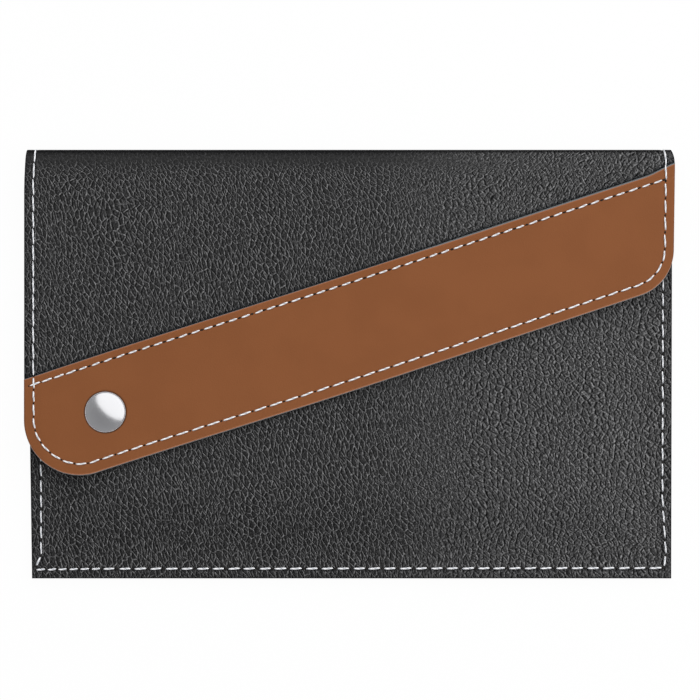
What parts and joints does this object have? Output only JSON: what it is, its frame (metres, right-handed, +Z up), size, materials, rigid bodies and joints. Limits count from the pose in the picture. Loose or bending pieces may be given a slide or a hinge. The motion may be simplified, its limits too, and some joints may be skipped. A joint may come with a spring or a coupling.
{
  "type": "document wallet",
  "caption": "Flat sewn leathercloth document wallet with a fold-over flap, a contrasting diagonal band along the flap's end and a press stud that holds it shut.",
  "frame": {"origin": "on the surface it lies on, below the middle of the closed wallet's box", "axes": "+Z up out of the front, +Y towards the fold, +X to the right seen from the front"},
  "size_m": [0.24, 0.159, 0.0132],
  "materials": {
    "grained_leather": "black pebble-grained leathercloth",
    "band_leather": "smooth matt brown leathercloth",
    "lining_cloth": "charcoal woven lining",
    "board": "grey fibre board",
    "thread": "white twisted sewing thread",
    "cap_chrome": "polished plating",
    "snap_steel": "plated pressed steel"
  },
  "bodies": {
    "pouch": {"back_skin": "grained_leather", "back_board": "board", "back_lining": "lining_cloth", "front_skin": "grained_leather", "front_lining": "lining_cloth", "pouch_seam_thread": "thread", "back_edge_thread": "thread", "mouth_thread": "thread", "snap_stud": "snap_steel", "snap_post": "snap_steel"},
    "flap": {"flap_skin": "grained_leather", "flap_lining": "lining_cloth", "band": "band_leather", "flap_edge_thread": "thread", "band_edge_thread": "thread", "band_top_thread": "thread", "snap_cap": "cap_chrome", "snap_socket": "snap_steel", "snap_spring": "snap_steel"}
  },
  "joints": [
    {"name": "flap_hinge", "type": "hinge", "parent": "pouch", "child": "flap", "pos_m": [0, 0.0795, 0.005], "axis": [-1, 0, 0], "range_deg": [0, 170]}
  ]
}
